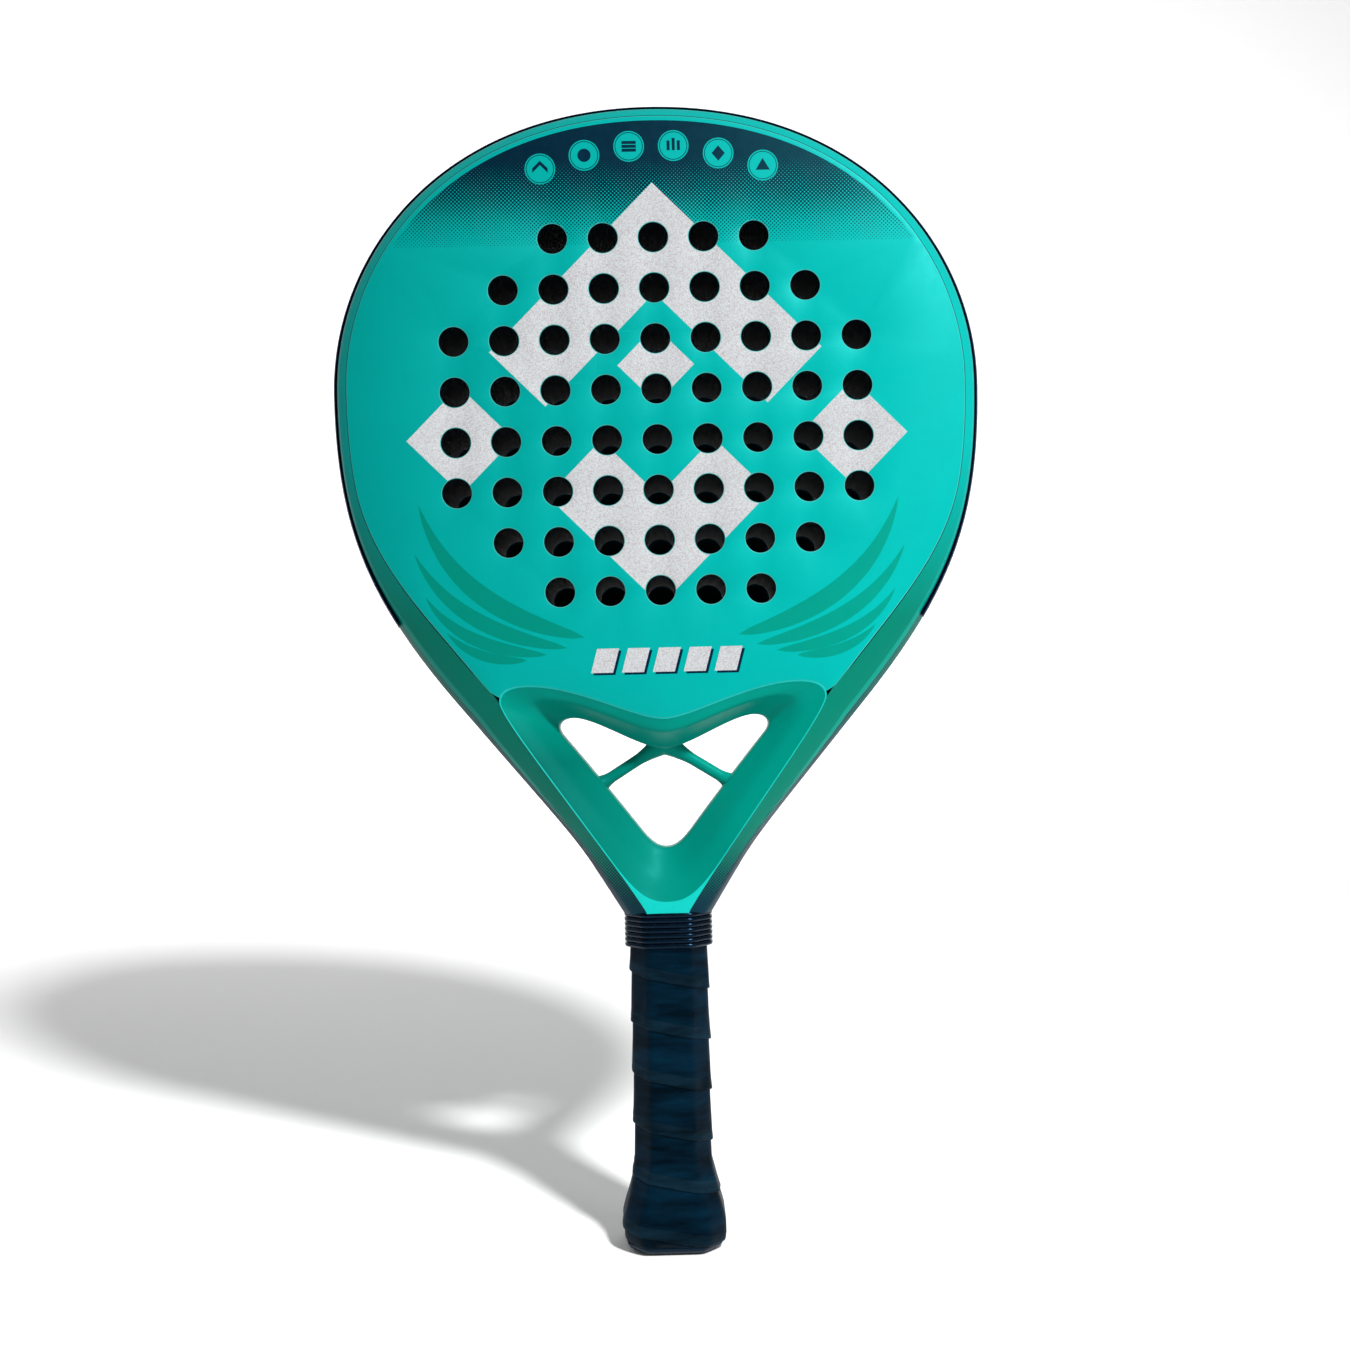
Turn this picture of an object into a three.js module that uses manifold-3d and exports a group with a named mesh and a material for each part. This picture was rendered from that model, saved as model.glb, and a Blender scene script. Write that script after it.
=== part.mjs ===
// Padel racket: perforated foam-cored head in a bent composite hoop, open throat, octagonal handle.
// Millimetres. +Z runs up the handle to the crown, the front hitting face looks along -Y, and the
// origin is the centre of the butt's flat end.
import * as THREE from 'three';
import Module from 'manifold-3d';
import { mergeVertices } from 'three/addons/utils/BufferGeometryUtils.js';

const wasm = await Module();
wasm.setup();

// ---- driving dimensions ----
const GAP = 0.3;                     // clearance kept between pieces that touch
const LENGTH = 455;                  // butt to crown
const HEAD_HALF = 128;               // half of the head's width
const WIDEST_Z = 343;                // height of the widest place
const HALF_THICK = 19;               // half of the thickness at the head
const NECK_HALF_THICK = 15.5;        // half thickness where the arms meet the grip
const NECK_TAPER_Z = 172;            // the thickness starts to fall here, towards the neck
const SKIN = 1.0;                    // laminate thickness of a hitting face
const SKIN_SEAT = HALF_THICK - SKIN - GAP;   // half thickness of what the faces are laid on

const HOLE_PITCH = 19.7;
const HOLE_RADIUS = 5.8;
const HOLE_ROW_Z = 322;              // height of the fifth row from the top
const HOLES_PER_ROW = [5, 7, 9, 9, 9, 9, 7, 5];
const ROWS_ABOVE = 4;                // rows above HOLE_ROW_Z

const HOOP_WIDTH = 14.2;             // hoop tube, measured inwards from the rim
const HOOP_WALL = 1.6;
const FACE_EDGE_CROWN = 6.8;         // rim to the edge of the face, at the crown
const FACE_EDGE_FLANK = 13.6;        // and where the flanks are bevelled
const BEVEL_START_Z = 305;
const BEVEL_FULL_Z = 225;
const SKIN_END_Z = 209;              // the faces' tips reach down to here on the rim
// The hoop's edge from the rim towards the face, as [distance from the rim, drop below the face].
const CROWN_EDGE = [[0, 10], [1.2, 6.5], [3.4, 2.4]];
const FLANK_EDGE = [[0, 10], [2.2, 6.5], [4, 4.4]];
const FULL_EDGE_WIDTH = 12;          // arms narrower than this have their edge drawn in to suit
const SHOULDER_Z = 136.5;            // the arms end here, and the tube's legs go on into the handle
const SHOULDER = { outer: 18.5, width: 9.6 };
const LEG_OUTER = 9.6;
const LEG_INNER = 2.2;
const LEG_HALF_THICK = 7;
const LEG_CORNER = 2.5;
const LEG_BOTTOM_Z = 16;

const PROTECTOR_END_Z = 250;         // the bumper strip covers the rim above this height
const PROTECTOR_THICK = 0.7;
const PROTECTOR_HALF = 13.6;         // half of the strip's width across the rim
const PROTECTOR_SOFT = 8;            // half width before its edges round off
const PROTECTOR_ROUND = 0.3;

const LIP_HALF_THICK = 6;            // half thickness at the edge of the throat's opening
const SLOPE_MID = { reach: 0.5, drop: 2.2 };   // the throat's slope bulges out halfway down
const BRACE = { radius: 2.35, topX: 4.9, topZ: 199, footX: 24.1, footZ: 187.3 };

const CAP_TOP_Z = 30;
const CAP_FLOOR = 6;
const CORD_HOLE_X = 6;
const CORD_HOLE_RADIUS = 2.5;
const GRIP_TOP_Z = 134.6;
// Layers over the grip's upper end, as distances outside the grip.
const TAPE = { inner: 0.25, outer: 0.55, margin: 1 };
const COLLAR = { bottom: 121.6, top: 135.8, inner: 0.8, outer: 1.4, ribs: 7, rib: 0.5 };

const flat = (x, z) => new THREE.Vector2(x, z);
const lift = (p, y) => new THREE.Vector3(p.x, y, p.y);
const ease = (a, b, x) => THREE.MathUtils.smoothstep(x, a, b);
const mix = THREE.MathUtils.lerp;

function chain(...curves) {
  const path = new THREE.CurvePath();
  for (const points of curves) path.add(new THREE.CubicBezierCurve(...points));
  return path;
}

// ---- master curves, right half, in the x-z plane ----
// The rim, from the crown to the neck.
const NECK = flat(17.4, 134.6);
const rim = chain(
  [flat(0, LENGTH), flat(85, LENGTH), flat(HEAD_HALF, WIDEST_Z + 54.5), flat(HEAD_HALF, WIDEST_Z)],
  [flat(HEAD_HALF, WIDEST_Z), flat(HEAD_HALF, WIDEST_Z - 52.5), flat(116.5, 261.5), flat(81.7, 219.5)],
  [flat(81.7, 219.5), flat(30.1, 157.2), flat(39.1, 170), NECK],
);
// The upper edge of the throat, from its middle out to the corner.
const THROAT_CORNER = flat(64.2, 220.5);
const throatTop = chain(
  [flat(0, 212.8), flat(11, 212.8), flat(34, 226.4), flat(53.5, 226.4)],
  [flat(53.5, 226.4), flat(60.5, 226.4), flat(64.2, 224.6), THROAT_CORNER],
);
// The ridge between an arm's outer bevel and the throat's slope, from the corner to the neck.
const ridge = chain([THROAT_CORNER, flat(63.8, 213), flat(30, 171), flat(8.6, SHOULDER_Z)]);
// The throat's opening: its upper edge, then its side down to the rounded bottom.
const openingTop = chain(
  [flat(0, 200.8), flat(10, 200.8), flat(27, 213.8), flat(37, 213.8)],
  [flat(37, 213.8), flat(41.5, 213.8), flat(44, 211), flat(41, 207)],
);
const openingSide = chain(
  [flat(41, 207), flat(31, 195), flat(20, 181), flat(10.5, 168.5)],
  [flat(10.5, 168.5), flat(6.5, 163.2), flat(3.5, 160.8), flat(0, 160.8)],
);

const RIM_SAMPLES = rim.getPoints(160);

function nearestOnRim(q) {
  return RIM_SAMPLES.reduce((best, p) => (p.distanceTo(q) < best.distanceTo(q) ? p : best));
}

function inwardNormal(curve, t) {
  const along = curve.getTangent(t);
  return flat(along.y, -along.x);
}

const halfThickness = (z) => mix(NECK_HALF_THICK, HALF_THICK, ease(SHOULDER_Z, NECK_TAPER_Z, z));
const bevelShare = (z) => 1 - ease(BEVEL_FULL_Z, BEVEL_START_Z, z);
const faceEdge = (z) => mix(FACE_EDGE_CROWN, FACE_EDGE_FLANK, bevelShare(z));

// The cuts across the rim that every layer in the head shares, from the crown down one flank.
const HEAD_CUTS = 27;
const FLANK_END = 0.765;             // share of the rim's length where the flank meets the throat
const headCuts = Array.from({ length: HEAD_CUTS }, (_, i) => {
  const t = (i / (HEAD_CUTS - 1)) * FLANK_END;
  return { at: rim.getPoint(t), inward: inwardNormal(rim, t) };
});

// Shares of the ridge's length at which the arms and the throat are cut alike.
const RIDGE_CUTS = [0, 0.08, 0.18, 0.3, 0.45, 0.6, 0.72, 0.82, 0.92];

// Shares of the throat's upper edge at which it and the layers above it are cut alike.
const TOP_CUTS = Array.from({ length: 13 }, (_, i) => i / 12);

function insetRim(distance, zEnd) {
  return headCuts
    .map(({ at, inward }) => at.clone().addScaledVector(inward, distance(at.y)))
    .filter((p) => p.y > zEnd);
}

const mirrored = (points) => points.map((p) => flat(-p.x, p.y));

// A closed outline from its right half, which starts and ends on the axis.
const wholeOutline = (right) => [...right, ...mirrored(right).reverse().slice(1, -1)];

// ---- mesh helpers ----
// Closed body from rings of equal length: side walls between rings, and the last joined to the
// first when the rings run around a hole.
function skinRings(rings, joined) {
  const count = rings[0].length;
  const position = rings.flat().flatMap((p) => [p.x, p.y, p.z]);
  const index = [];
  const bands = joined ? rings.length : rings.length - 1;
  for (let r = 0; r < bands; r++) {
    const a = r * count;
    const b = ((r + 1) % rings.length) * count;
    for (let i = 0; i < count; i++) {
      const j = (i + 1) % count;
      index.push(a + i, a + j, b + j, a + i, b + j, b + i);
    }
  }
  return { position, index, count, rings: rings.length };
}

function toGeometry({ position, index }) {
  const geometry = new THREE.BufferGeometry();
  geometry.setAttribute('position', new THREE.Float32BufferAttribute(position, 3));
  geometry.setIndex(index);
  if (signedVolume(geometry) < 0) {
    for (let i = 0; i < index.length; i += 3) [index[i], index[i + 1]] = [index[i + 1], index[i]];
    geometry.setIndex(index);
  }
  geometry.computeVertexNormals();
  return geometry;
}

function signedVolume(geometry) {
  const at = geometry.attributes.position;
  const order = geometry.index.array;
  const [a, b, c] = [new THREE.Vector3(), new THREE.Vector3(), new THREE.Vector3()];
  let sum = 0;
  for (let i = 0; i < order.length; i += 3) {
    a.fromBufferAttribute(at, order[i]);
    b.fromBufferAttribute(at, order[i + 1]);
    c.fromBufferAttribute(at, order[i + 2]);
    sum += a.dot(b.cross(c));
  }
  return sum / 6;
}

// A ring of sections swept around and closed on itself.
const closedSweep = (sections) => toGeometry(skinRings(sections, true));

// Stacked rings with a flat lid on each end.
function solidLoft(rings) {
  const mesh = skinRings(rings, false);
  const last = (mesh.rings - 1) * mesh.count;
  for (let i = 1; i < mesh.count - 1; i++) {
    mesh.index.push(0, i + 1, i);
    mesh.index.push(last, last + i, last + i + 1);
  }
  return toGeometry(mesh);
}

// A plate in the x-z plane from y0 to y1, with holes.
function plate(outline, holes, y0, y1, curveSegments = 4) {
  const shape = new THREE.Shape(outline);
  shape.holes.push(...holes);
  const geometry = new THREE.ExtrudeGeometry(shape, { depth: y1 - y0, bevelEnabled: false, curveSegments });
  return geometry.rotateX(Math.PI / 2).translate(0, y1, 0);
}

function hitHoles() {
  return HOLES_PER_ROW.flatMap((count, row) =>
    Array.from({ length: count }, (_, i) => {
      const x = (i - (count - 1) / 2) * HOLE_PITCH;
      const z = HOLE_ROW_Z + (ROWS_ABOVE - row) * HOLE_PITCH;
      return new THREE.Path().absarc(x, z, HOLE_RADIUS, 0, 2 * Math.PI, false);
    }));
}

// Octagon of half sizes hx and hy with 45 degree corners, at height z.
function octagon(hx, hy, corner, z) {
  const right = [[hx, hy - corner], [hx - corner, hy]];
  const quarter = (sx, sy) => right.map(([x, y]) => new THREE.Vector3(sx * x, sy * y, z));
  return [
    ...quarter(1, -1).reverse(), ...quarter(1, 1),
    ...quarter(-1, 1).reverse(), ...quarter(-1, -1),
  ];
}

// Sleeve between an outer and an inner stack of rings, open at both ends.
const sleeve = (outer, inner) => closedSweep([...outer, ...inner.reverse()]);

// ---- head ----
// One cut through the hoop: where it starts on the rim, its inward direction, width and shape.
function hoopStations() {
  const head = headCuts.map((cut) => ({ ...cut, width: HOOP_WIDTH }));
  const arm = [];
  for (const t of RIDGE_CUTS) {
    const inner = ridge.getPoint(t);
    const at = nearestOnRim(inner);
    const inward = inner.clone().sub(at);
    arm.push({ at, inward: inward.clone().normalize(), width: inward.length() - GAP });
  }
  const side = flat(-1, 0);
  const shoulder = { at: flat(SHOULDER.outer, SHOULDER_Z), inward: side, width: SHOULDER.width };
  const legTop = { at: flat(LEG_OUTER, SHOULDER_Z - 0.6), inward: side, width: LEG_OUTER - LEG_INNER };
  const legEnd = { ...legTop, at: flat(LEG_OUTER, LEG_BOTTOM_Z) };
  for (const cut of [legTop, legEnd]) cut.leg = true;
  return [...head, ...arm, shoulder, legTop, legEnd];
}

// Half of the hoop's outer profile, as [distance from the rim, height above the middle plane].
function hoopProfile({ at, width, leg }) {
  if (leg) {
    const shoulder = LEG_HALF_THICK - LEG_CORNER;
    return [
      [0, shoulder / 2], [0, shoulder], [LEG_CORNER, LEG_HALF_THICK],
      [width / 2, LEG_HALF_THICK], [width - 1, LEG_HALF_THICK], [width, LEG_HALF_THICK - 1],
    ];
  }
  const full = halfThickness(at.y);
  const bevel = bevelShare(at.y);
  const covered = at.y > PROTECTOR_END_Z - 3 ? PROTECTOR_THICK + GAP : 0;
  const narrow = Math.min(1, width / FULL_EDGE_WIDTH);
  const flatStart = Math.min(faceEdge(at.y) - GAP, width - 2 * GAP);
  const seat = at.y > SKIN_END_Z ? full - SKIN - GAP : full;
  const edge = CROWN_EDGE.map(([reach, drop], i) => {
    const [flankReach, flankDrop] = FLANK_EDGE[i];
    return [Math.max(covered, mix(reach, flankReach * narrow, bevel)), full - mix(drop, flankDrop, bevel)];
  });
  return [...edge, [flatStart, full], [flatStart, seat], [width, seat]];
}

// The bore lies about one wall inside the profile.
const BORE_REACH = [0, 0.12, 0.35, 0.6, 0.85, 1];
const BORE_DROP = [7.5, 5, 2.6, 0.6, 0, 0];

function boreProfile({ at, width, leg }) {
  const top = (leg ? LEG_HALF_THICK : halfThickness(at.y) - SKIN - GAP) - HOOP_WALL;
  const start = HOOP_WALL + (leg ? 0 : PROTECTOR_THICK);
  return BORE_REACH.map((reach, i) => [
    mix(start, width - HOOP_WALL, reach),
    top - BORE_DROP[i] * (leg ? 0.5 : 1),
  ]);
}

function cutRing({ at, inward }, half) {
  const front = half.map(([d, y]) => [d, -y]);
  const loop = [...front, ...half.slice().reverse()];
  return loop.map(([d, y]) => lift(at.clone().addScaledVector(inward, d), y));
}

const mirrorStation = (s) => ({ ...s, at: flat(-s.at.x, s.at.y), inward: flat(-s.inward.x, s.inward.y) });

function frameHoop() {
  const right = hoopStations();
  const all = [...right.slice(1).map(mirrorStation).reverse(), ...right];
  const outer = all.map((s) => cutRing(s, hoopProfile(s)));
  const bore = all.map((s) => cutRing(s, boreProfile(s)));
  return closedSweep([...outer, ...bore.reverse()]);
}

function rimProtector() {
  const [soft, edge, round, thick] = [PROTECTOR_SOFT, PROTECTOR_HALF, PROTECTOR_ROUND, PROTECTOR_THICK];
  const section = [[0, -soft], [0, soft], [round, edge], [thick, edge], [thick, -edge], [round, -edge]];
  const right = headCuts.filter(({ at }) => at.y >= PROTECTOR_END_Z);
  const all = [...right.slice(1).map(mirrorStation).reverse(), ...right];
  return solidLoft(all.map(({ at, inward }) =>
    section.map(([d, y]) => lift(at.clone().addScaledVector(inward, d), y))));
}

// Outline of a layer in the head: inside the rim, and closed along the throat's upper edge.
function headOutline(distance) {
  const around = insetRim(distance, THROAT_CORNER.y + 1);
  const lower = [];
  for (const t of TOP_CUTS) {
    const p = throatTop.getPoint(t).addScaledVector(inwardNormal(throatTop, t), -2 * GAP);
    if (nearestOnRim(p).distanceTo(p) > distance(p.y) + GAP / 2) lower.push(p);
  }
  return wholeOutline([...around, ...lower.reverse()]);
}

function coreFoam() {
  const half = SKIN_SEAT - GAP / 2;
  return plate(headOutline(() => HOOP_WIDTH + GAP), hitHoles(), -half, half);
}

function face(side) {
  const [inner, outer] = [SKIN_SEAT + GAP, HALF_THICK];
  const [y0, y1] = side < 0 ? [-outer, -inner] : [inner, outer];
  return plate(headOutline(faceEdge), hitHoles(), y0, y1);
}

// ---- throat ----
// Matching points on the throat's outline and on the edge of its opening.
function throatLoops() {
  const foot = SHOULDER_Z + GAP;
  const side = [...RIDGE_CUTS.slice(1), 1].map((t) => ridge.getPoint(t));
  side.at(-1).y = foot;
  const along = (curve) => TOP_CUTS.map((t) => curve.getPoint(t));
  const outer = [...along(throatTop), ...side, flat(0, foot)];
  const inner = [...along(openingTop), ...openingSide.getSpacedPoints(10).slice(1)];
  return { outer: wholeOutline(outer), inner: wholeOutline(inner) };
}

function throatYoke() {
  const { outer, inner } = throatLoops();
  const half = (side) => [
    outer.map((p) => lift(p, side * halfThickness(p.y))),
    outer.map((p, i) =>
      lift(p.clone().lerp(inner[i], SLOPE_MID.reach), side * (halfThickness(p.y) - SLOPE_MID.drop))),
    inner.map((p) => lift(p, side * LIP_HALF_THICK)),
  ];
  return closedSweep([...half(-1), ...half(1).reverse()]);
}

// Round brace across the opening, from the bridge's middle to one arm.
function placeBrace(mesh, side) {
  const start = new THREE.Vector3(side * BRACE.topX, 0, BRACE.topZ);
  const end = new THREE.Vector3(side * BRACE.footX, 0, BRACE.footZ);
  mesh.position.copy(start).add(end).multiplyScalar(0.5);
  mesh.quaternion.setFromUnitVectors(new THREE.Vector3(0, 1, 0), end.clone().sub(start).normalize());
  return mesh;
}

function brace() {
  const length = Math.hypot(BRACE.footX - BRACE.topX, BRACE.topZ - BRACE.footZ);
  return new THREE.CylinderGeometry(BRACE.radius, BRACE.radius, length, 12);
}

// ---- handle ----
const GRIP = { hx: 15.9, hy: 14.2, corner: 7.2 };
const OVERGRIP_THICK = 0.8;
const BASE = { hx: 14.8, hy: 13.1, corner: 6.7, thick: 1.8 };
const PALLET = { hx: 12.7, hy: 11, corner: 5.8 };
// The flared end: [height, half width, half depth] of the wrapped surface.
const FLARE = [
  [3.2, 20, 17.3], [7, 20.8, 17.9], [12, 20.9, 18], [20, 18.9, 16.6], [27.6, 17.3, 15.2],
  [34, GRIP.hx, GRIP.hy],
];
// The bare plastic end of the butt cap: [height, half width, half depth, corner].
const BUTT = [[0, 16.6, 14, 6.5], [1, 18.4, 15.7, 7]];

// An octagon drawn in by an even distance keeps its flats parallel.
const CORNER_INSET = 2 - Math.SQRT2;
const insetOctagon = ({ hx, hy, corner }, inset, z) =>
  octagon(hx - inset, hy - inset, corner - inset * CORNER_INSET, z);
const flareRing = (inset) => ([z, hx, hy]) => insetOctagon({ hx, hy, corner: GRIP.corner }, inset, z);
const gripRing = (inset, z) => insetOctagon(GRIP, inset, z);

function overgrip() {
  const stack = (inset) => [...FLARE.map(flareRing(inset)), gripRing(inset, GRIP_TOP_Z)];
  return sleeve(stack(0), stack(OVERGRIP_THICK));
}

function baseGrip() {
  const ends = [CAP_TOP_Z + GAP, GRIP_TOP_Z];
  const stack = (inset) => ends.map((z) => insetOctagon(BASE, inset, z));
  return sleeve(stack(0), stack(BASE.thick));
}

// Half shell of the handle's moulded body, around the two legs of the hoop.
function handlePallet(side) {
  const { hx, hy, corner } = PALLET;
  const pocketX = LEG_OUTER + GAP;
  const pocketY = LEG_HALF_THICK + GAP;
  const seam = GAP / 2;
  const quarter = [
    [pocketX - LEG_CORNER, pocketY], [pocketX, pocketY - LEG_CORNER], [pocketX, seam],
    [hx, seam], [hx, hy - corner], [hx - corner, hy],
  ];
  const half = [...quarter, ...quarter.map(([x, y]) => [-x, y]).reverse()];
  const shape = new THREE.Shape(half.map(([x, y]) => flat(x, side * y)));
  const depth = SHOULDER_Z - 1 - LEG_BOTTOM_Z;
  return new THREE.ExtrudeGeometry(shape, { depth, bevelEnabled: false }).translate(0, 0, LEG_BOTTOM_Z);
}

function handleSpine() {
  const length = GRIP_TOP_Z - LEG_BOTTOM_Z;
  const halfX = LEG_INNER - GAP;
  return new THREE.BoxGeometry(2 * halfX, 2 * (LEG_HALF_THICK - GAP), length)
    .translate(0, 0, LEG_BOTTOM_Z + length / 2);
}

function toSolid(geometry) {
  const plain = geometry.clone();
  plain.deleteAttribute('normal');
  plain.deleteAttribute('uv');
  const merged = mergeVertices(plain);
  return new wasm.Manifold(new wasm.Mesh({
    numProp: 3,
    vertProperties: merged.attributes.position.array,
    triVerts: new Uint32Array(merged.index.array),
  }));
}

function fromSolid(solid) {
  const { vertProperties, triVerts } = solid.getMesh();
  return toGeometry({ position: Array.from(vertProperties), index: Array.from(triVerts) });
}

function cordHole(side) {
  return new THREE.CylinderGeometry(CORD_HOLE_RADIUS, CORD_HOLE_RADIUS, 4 * CAP_FLOOR, 12)
    .rotateX(Math.PI / 2)
    .translate(side * CORD_HOLE_X, 0, 0);
}

// Flared end cap: a cup over the end of the handle, with two holes for a wrist cord.
function buttCap() {
  const under = OVERGRIP_THICK + GAP;
  const rings = [
    ...BUTT.map(([z, hx, hy, corner]) => octagon(hx, hy, corner, z)),
    ...FLARE.slice(0, -1).map(flareRing(under)),
    octagon(BASE.hx, BASE.hy, BASE.corner, CAP_TOP_Z),
  ];
  const pocket = [CAP_FLOOR, CAP_TOP_Z + 1].map((z) =>
    octagon(PALLET.hx + GAP, PALLET.hy + GAP, PALLET.corner, z));
  const body = toSolid(solidLoft(rings)).subtract(toSolid(solidLoft(pocket)));
  return fromSolid(body.subtract(toSolid(cordHole(-1))).subtract(toSolid(cordHole(1))));
}

function finishingTape() {
  const ends = [COLLAR.bottom + TAPE.margin, GRIP_TOP_Z - TAPE.margin];
  const stack = (reach) => ends.map((z) => gripRing(-reach, z));
  return sleeve(stack(TAPE.outer), stack(TAPE.inner));
}

function gripCollar() {
  const { bottom, top, inner, outer, ribs, rib } = COLLAR;
  const pitch = (top - bottom) / ribs;
  const rings = [];
  for (let i = 0; i < ribs; i++) {
    const z = bottom + i * pitch;
    rings.push(gripRing(-outer, z), gripRing(-outer - rib, z + 0.3 * pitch));
    rings.push(gripRing(-outer - rib, z + 0.7 * pitch));
  }
  rings.push(gripRing(-outer, top));
  return sleeve(rings, [gripRing(-inner, bottom), gripRing(-inner, top)]);
}

// ---- assembly ----
const paint = (color, roughness) => new THREE.MeshStandardMaterial({ color, roughness, metalness: 0 });
const LACQUER = paint('#00a893', 0.35);
const FACE = paint('#00cfc4', 0.35);
const FOAM = paint('#0c1016', 0.9);
const NAVY = paint('#06142c', 0.35);
const MOULDED = paint('#1c1d20', 0.6);
const GRIP_PU = paint('#0d141c', 0.55);
const RUBBER = paint('#05070b', 0.3);

const group = new THREE.Group();

function add(name, geometry, material) {
  const mesh = new THREE.Mesh(geometry, material);
  mesh.name = name;
  group.add(mesh);
  return mesh;
}

add('frame_hoop', frameHoop(), LACQUER);
add('core_foam', coreFoam(), FOAM);
add('front_face', face(-1), FACE);
add('back_face', face(1), FACE);
add('throat_yoke', throatYoke(), LACQUER);
placeBrace(add('brace_left', brace(), LACQUER), -1);
placeBrace(add('brace_right', brace(), LACQUER), 1);
add('rim_protector', rimProtector(), NAVY);
add('handle_spine', handleSpine(), MOULDED);
add('handle_pallet_front', handlePallet(-1), MOULDED);
add('handle_pallet_back', handlePallet(1), MOULDED);
add('butt_cap', buttCap(), MOULDED);
add('base_grip', baseGrip(), GRIP_PU);
add('overgrip', overgrip(), GRIP_PU);
add('finishing_tape', finishingTape(), NAVY);
add('grip_collar', gripCollar(), RUBBER);

export default group;
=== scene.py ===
# Padel racket: the visible pieces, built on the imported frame.
# Lengths are millimetres until a mesh is made from them, x across, y through, z up the racket.
import math

import bmesh
import bpy
import numpy as np
from mathutils import Matrix, Vector
from mathutils.geometry import delaunay_2d_cdt


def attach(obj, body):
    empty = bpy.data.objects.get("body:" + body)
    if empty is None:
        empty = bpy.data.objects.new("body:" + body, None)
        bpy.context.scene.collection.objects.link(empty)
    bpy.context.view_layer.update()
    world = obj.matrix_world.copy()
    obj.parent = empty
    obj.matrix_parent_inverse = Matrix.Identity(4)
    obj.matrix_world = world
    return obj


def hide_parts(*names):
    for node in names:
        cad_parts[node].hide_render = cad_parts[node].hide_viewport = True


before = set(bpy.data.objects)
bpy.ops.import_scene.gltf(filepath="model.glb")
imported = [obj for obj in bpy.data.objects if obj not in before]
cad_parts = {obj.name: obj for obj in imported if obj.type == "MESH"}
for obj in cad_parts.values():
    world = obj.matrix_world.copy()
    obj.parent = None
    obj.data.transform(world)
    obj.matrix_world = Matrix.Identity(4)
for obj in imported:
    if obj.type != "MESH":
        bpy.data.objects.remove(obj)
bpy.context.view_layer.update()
MM = 0.001

# ---- the camera, as the photograph was taken ----
CAMERA_AT = (4.1, -532.4, 208.0)
CAMERA_TURN = {"Z": -0.584, "X": -0.53, "Y": 1.263}
LENS, SENSOR = 34.92, 36.0
SHIFT = (-0.0096, 0.0496)


def add_camera():
    data = bpy.data.cameras.new("camera")
    data.lens = LENS
    data.sensor_width = SENSOR
    data.shift_x, data.shift_y = SHIFT
    data.clip_start, data.clip_end = 0.01, 50
    turned = Matrix.Identity(3)
    for axis, degrees in CAMERA_TURN.items():
        turned = turned @ Matrix.Rotation(math.radians(degrees), 3, axis)
    right, forward, up = turned.col
    camera = bpy.data.objects.new("camera", data)
    rotation = Matrix((right, up, -forward)).transposed()
    camera.matrix_world = Matrix.Translation(Vector(CAMERA_AT) * MM) @ rotation.to_4x4()
    bpy.context.collection.objects.link(camera)
    bpy.context.scene.camera = camera


# ---- master curves of the racket, right half, as (x, z) ----
LENGTH, HEAD_HALF, WIDEST_Z = 455.0, 128.0, 343.0
HALF_THICK, NECK_HALF_THICK = 19.0, 15.5
NECK_TAPER_Z, SHOULDER_Z = 172.0, 136.5


class Path:
    """A chain of cubic curves, read by its share of the length."""

    def __init__(self, *curves, samples=1500):
        t = np.linspace(0, 1, samples)[:, None]
        pieces = [
            (1 - t) ** 3 * a + 3 * (1 - t) ** 2 * t * b + 3 * (1 - t) * t**2 * c + t**3 * d
            for a, b, c, d in (np.array(curve, float) for curve in curves)
        ]
        self.points = np.vstack([pieces[0]] + [p[1:] for p in pieces[1:]])
        steps = np.linalg.norm(np.diff(self.points, axis=0), axis=1)
        self.along = np.concatenate([[0], np.cumsum(steps)]) / steps.sum()

    def at(self, share):
        return np.array([np.interp(share, self.along, self.points[:, k]) for k in (0, 1)]).T

    def inward(self, share, reach=0.002):
        ahead = self.at(min(1, share + reach)) - self.at(max(0, share - reach))
        ahead /= np.linalg.norm(ahead)
        return np.array([ahead[1], -ahead[0]])

    def nearest(self, point):
        return self.points[np.argmin(np.linalg.norm(self.points - point, axis=1))]


RIM = Path(
    [(0, LENGTH), (85, LENGTH), (HEAD_HALF, WIDEST_Z + 54.5), (HEAD_HALF, WIDEST_Z)],
    [(HEAD_HALF, WIDEST_Z), (HEAD_HALF, WIDEST_Z - 52.5), (116.5, 261.5), (81.7, 219.5)],
    [(81.7, 219.5), (30.1, 157.2), (39.1, 170), (17.4, 134.6)],
)
THROAT_TOP = Path(
    [(0, 212.8), (11, 212.8), (34, 226.4), (53.5, 226.4)],
    [(53.5, 226.4), (60.5, 226.4), (64.2, 224.6), (64.2, 220.5)],
)
RIDGE = Path([(64.2, 220.5), (63.8, 213), (30, 171), (8.6, SHOULDER_Z)])
OPENING_TOP = Path(
    [(0, 200.8), (10, 200.8), (27, 213.8), (37, 213.8)],
    [(37, 213.8), (41.5, 213.8), (44, 211), (41, 207)],
)
OPENING_SIDE = Path(
    [(41, 207), (31, 195), (20, 181), (10.5, 168.5)],
    [(10.5, 168.5), (6.5, 163.2), (3.5, 160.8), (0, 160.8)],
)
FLANK_END = 0.765
NECK_Z = 134.9
# The face's edge lies this far in from the rim, at the crown and on the flanks.
CROWN_EDGE, FLANK_EDGE = 6.8, 13.6


def ease(start, end, x):
    t = min(1.0, max(0.0, (x - start) / (end - start)))
    return t * t * (3 - 2 * t)


def mix(a, b, t):
    return a + (b - a) * t


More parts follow.
